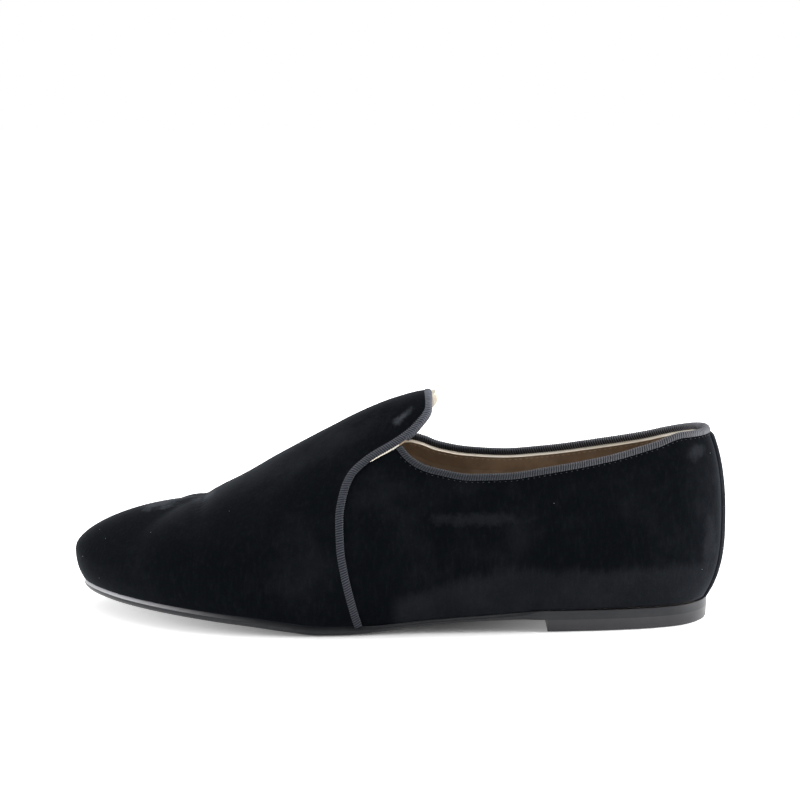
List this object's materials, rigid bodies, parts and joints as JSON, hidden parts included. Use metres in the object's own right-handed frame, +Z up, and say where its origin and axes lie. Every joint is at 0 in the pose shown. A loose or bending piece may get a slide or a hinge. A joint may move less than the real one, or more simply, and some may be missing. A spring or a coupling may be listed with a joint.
{
  "type": "velvet slipper loafer",
  "caption": "Flat velvet slipper loafer with a high rounded tongue, ribbed ribbon binding, back strip, thin bevelled sole and a low square-breasted heel",
  "frame": {"origin": "centre of the footprint of the part's box, on the floor that the shoe stands on", "axes": "+X to the back of the heel, toe to -X; outer side of the left shoe to -Y, inner side to +Y; +Z up"},
  "size_m": [0.2584, 0.0892, 0.0899],
  "materials": {
    "sole_rubber": "satin dark grey",
    "heel_rubber": "satin dark grey",
    "velvet": "black pile with soft sheen",
    "ribbon": "ribbed, satin, dark navy grey",
    "lining": "smooth taupe lining leather"
  },
  "bodies": {
    "root": {"outsole": "sole_rubber", "heel": "heel_rubber", "upper": "velvet", "vamp_binding": "ribbon", "topline_binding": "ribbon", "back_strip": "velvet", "insole": "lining"}
  },
  "joints": []
}
